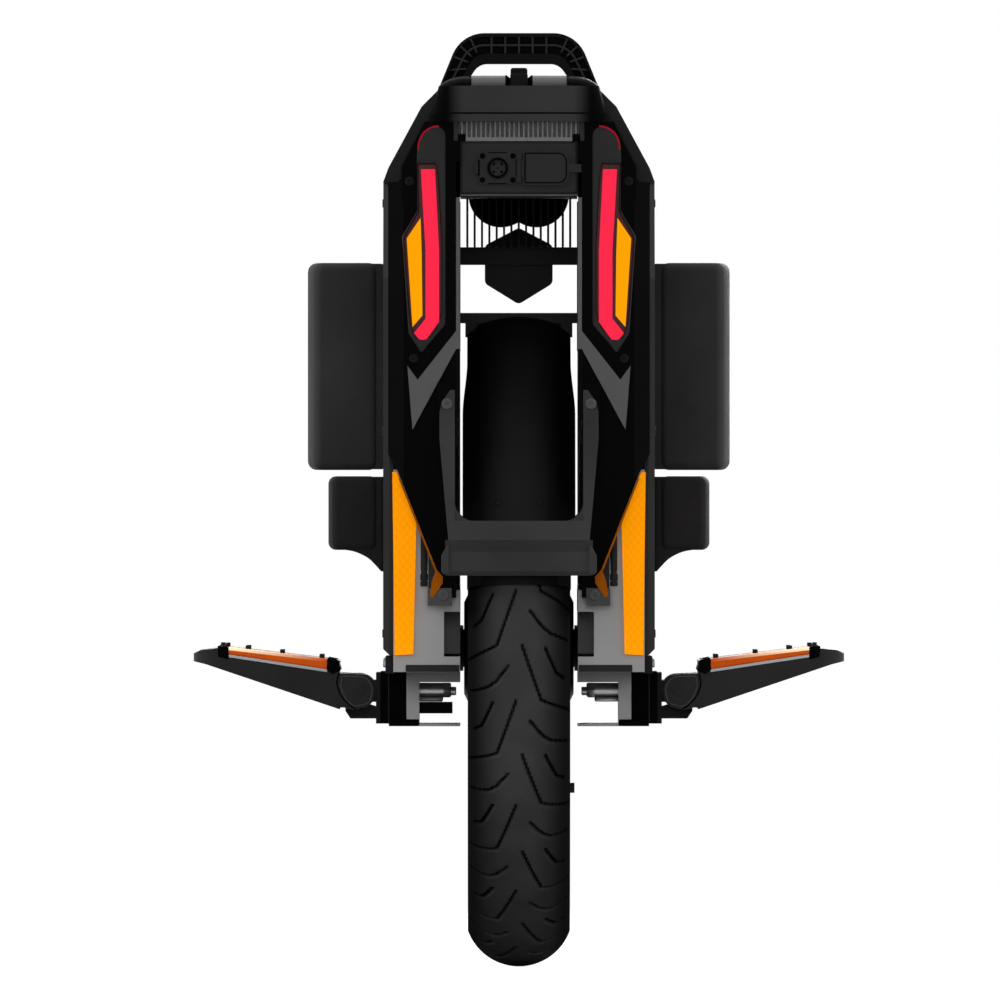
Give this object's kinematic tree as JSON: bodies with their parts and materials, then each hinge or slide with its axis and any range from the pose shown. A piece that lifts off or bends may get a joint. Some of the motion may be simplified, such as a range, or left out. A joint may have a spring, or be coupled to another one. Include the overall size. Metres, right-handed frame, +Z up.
{
  "type": "electric unicycle",
  "caption": "Self-balancing electric unicycle: a hub-motor wheel on a sprung sliding carriage inside a split body, with folding pedals, leg pads, rear lamps, carry handle and trolley bar.",
  "frame": {"origin": "on the ground under the wheel's contact point, at the centre of the footprint", "axes": "+X to the rider's right along the axle, +Y forward, +Z up"},
  "size_m": [0.5094, 0.572, 0.7309],
  "materials": {
    "tyre_rubber": "matt",
    "hub_black": "satin",
    "steel": "satin",
    "valve_brass": "satin",
    "stator_iron": "matt",
    "carriage_black": "satin",
    "bush_plastic": "matt",
    "guard_black": "satin",
    "frame_dark": "satin",
    "pack_grey": "matt",
    "cover_black": "satin",
    "frame_grey": "satin",
    "shoulder_grey": "satin",
    "brake_red": "gloss",
    "indicator_amber": "gloss",
    "reflector_amber": "gloss",
    "box_dark": "satin",
    "sink_grey": "anodised",
    "deck_dark": "matt",
    "trolley_black": "satin",
    "grip_grey": "satin",
    "socket_black": "satin",
    "lamp_glass": "gloss",
    "pedal_black": "satin",
    "inlay_orange": "satin",
    "pad_black": "matt"
  },
  "bodies": {
    "chassis": {"side_frame_left": "frame_dark", "side_frame_right": "frame_dark", "guide_rods": "steel", "damper_bodies": "carriage_black", "battery_packs": "pack_grey", "side_cover_left": "cover_black", "side_cover_right": "cover_black", "lower_frame_left": "frame_grey", "lower_frame_right": "frame_grey", "shoulders": "shoulder_grey", "rear_fairing_left": "cover_black", "rear_fairing_right": "cover_black", "front_fairings": "cover_black", "brake_lenses": "brake_red", "indicator_lenses": "indicator_amber", "window_rails": "shoulder_grey", "rear_yoke": "frame_dark", "front_yoke": "frame_dark", "rear_reflectors": "reflector_amber", "controller_box": "box_dark", "heat_sink": "sink_grey", "top_bridge": "frame_dark", "top_deck": "deck_dark", "carry_handle": "deck_dark", "trolley_sleeves": "trolley_black", "charge_socket": "socket_black", "front_radiator": "sink_grey", "front_cowl": "cover_black", "headlamp_housing": "box_dark", "headlamp_lens": "lamp_glass", "pedal_hangers": "pedal_black", "pedal_pins": "pedal_black", "hanger_brackets": "frame_grey", "cable_cover": "cover_black", "knee_pads": "pad_black", "calf_pads": "pad_black", "body_screws": "steel"},
    "carriage": {"axle": "steel", "motor_stator": "stator_iron", "slider_left": "carriage_black", "slider_right": "carriage_black", "slider_bushes": "bush_plastic", "fork_bridge": "carriage_black", "mudguard": "guard_black", "axle_nuts": "steel", "damper_rods": "steel"},
    "wheel": {"tyre": "tyre_rubber", "wheel_rim": "hub_black", "motor_covers": "hub_black", "wheel_bearings": "steel", "tyre_valve": "valve_brass"},
    "right_pedal": {"pedal_right": "pedal_black", "pedal_inlay_right": "inlay_orange"},
    "left_pedal": {"pedal_left": "pedal_black", "pedal_inlay_left": "inlay_orange"},
    "trolley": {"trolley_bar": "trolley_black", "trolley_grips": "grip_grey"},
    "trolley_release": {"trolley_button": "trolley_black"},
    "charge_cap": {"charge_lid": "socket_black"},
    "power_key": {"power_button": "socket_black"}
  },
  "joints": [
    {"name": "suspension_travel", "type": "slide", "parent": "chassis", "child": "carriage", "axis": [0, 0, 1], "range_m": [0, 0.085], "stiffness_N_per_m": 9000, "springref_m": -0.05},
    {"name": "wheel_spin", "type": "hinge", "parent": "carriage", "child": "wheel", "pos_m": [0, 0, 0.25], "axis": [1, 0, 0], "continuous": true},
    {"name": "right_pedal_fold", "type": "hinge", "parent": "chassis", "child": "right_pedal", "pos_m": [0.125, 0, 0.217], "axis": [0, -1, 0], "range_deg": [0, 72]},
    {"name": "left_pedal_fold", "type": "hinge", "parent": "chassis", "child": "left_pedal", "pos_m": [-0.125, 0, 0.217], "axis": [0, 1, 0], "range_deg": [0, 72]},
    {"name": "trolley_extend", "type": "slide", "parent": "chassis", "child": "trolley", "axis": [0, 0, 1], "range_m": [0, 0.2]},
    {"name": "trolley_button_press", "type": "slide", "parent": "trolley", "child": "trolley_release", "axis": [0, 0, -1], "range_m": [0, 0.002], "stiffness_N_per_m": 500, "springref_m": -0.003},
    {"name": "charge_lid_swing", "type": "hinge", "parent": "chassis", "child": "charge_cap", "pos_m": [0, -0.2268, 0.625], "axis": [0, 0, -1], "range_deg": [0, 178]},
    {"name": "power_button_press", "type": "slide", "parent": "chassis", "child": "power_key", "axis": [0, 0, -1], "range_m": [0, 0.002], "stiffness_N_per_m": 500, "springref_m": -0.003}
  ]
}
